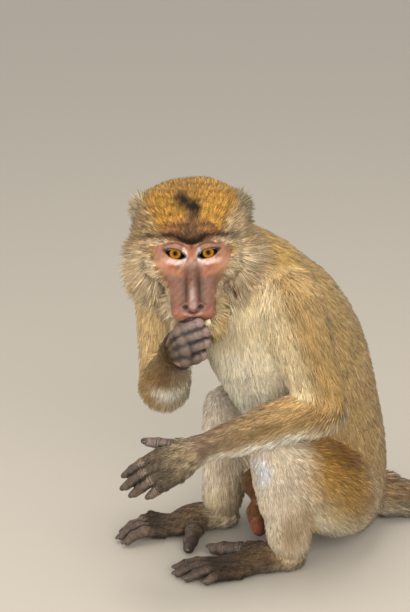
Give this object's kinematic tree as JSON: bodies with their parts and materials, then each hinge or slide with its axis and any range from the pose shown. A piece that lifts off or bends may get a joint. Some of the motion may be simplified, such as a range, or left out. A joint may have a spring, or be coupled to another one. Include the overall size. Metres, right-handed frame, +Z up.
{
  "type": "sitting long-tailed macaque",
  "caption": "Life-size sitting long-tailed macaque as a still display model, one hand held to its mouth, the other arm over its knee, tail laid on the floor.",
  "frame": {"origin": "on the floor at the middle of the seat, under the rump", "axes": "+Z up; the trunk faces -Y; +X is to the animal's left; the tail leaves towards +Y; the head is turned to its left, towards +X and -Y"},
  "size_m": [0.3227, 0.5947, 0.4393],
  "materials": {
    "body_coat": "dense soft fur, golden brown banded with dark hair, cream on the belly and inner limbs, dark grey-brown on the tail",
    "head_skin_and_coat": "short golden crown fur, pale grey cheek fur, and bare pink and mauve-brown skin on the face",
    "hand_and_foot_skin": "dark grey-brown creased skin with sparse short hair on the backs",
    "eye": "wet, clear and glossy over an amber iris",
    "nail": "dark horn, smooth with a low shine",
    "tooth": "ivory enamel, glossy"
  },
  "bodies": {
    "root": {"trunk": "body_coat", "neck": "body_coat", "head": "head_skin_and_coat", "ear_left": "head_skin_and_coat", "ear_right": "head_skin_and_coat", "eye_left": "eye", "eye_right": "eye", "upper_arm_left": "body_coat", "forearm_left": "body_coat", "hand_left": "hand_and_foot_skin", "thigh_left": "body_coat", "shin_left": "body_coat", "foot_left": "hand_and_foot_skin", "upper_arm_right": "body_coat", "forearm_right": "body_coat", "hand_right": "hand_and_foot_skin", "thigh_right": "body_coat", "shin_right": "body_coat", "foot_right": "hand_and_foot_skin", "tail_base": "body_coat", "tail_middle": "body_coat", "tail_tip": "body_coat"}
  },
  "joints": []
}
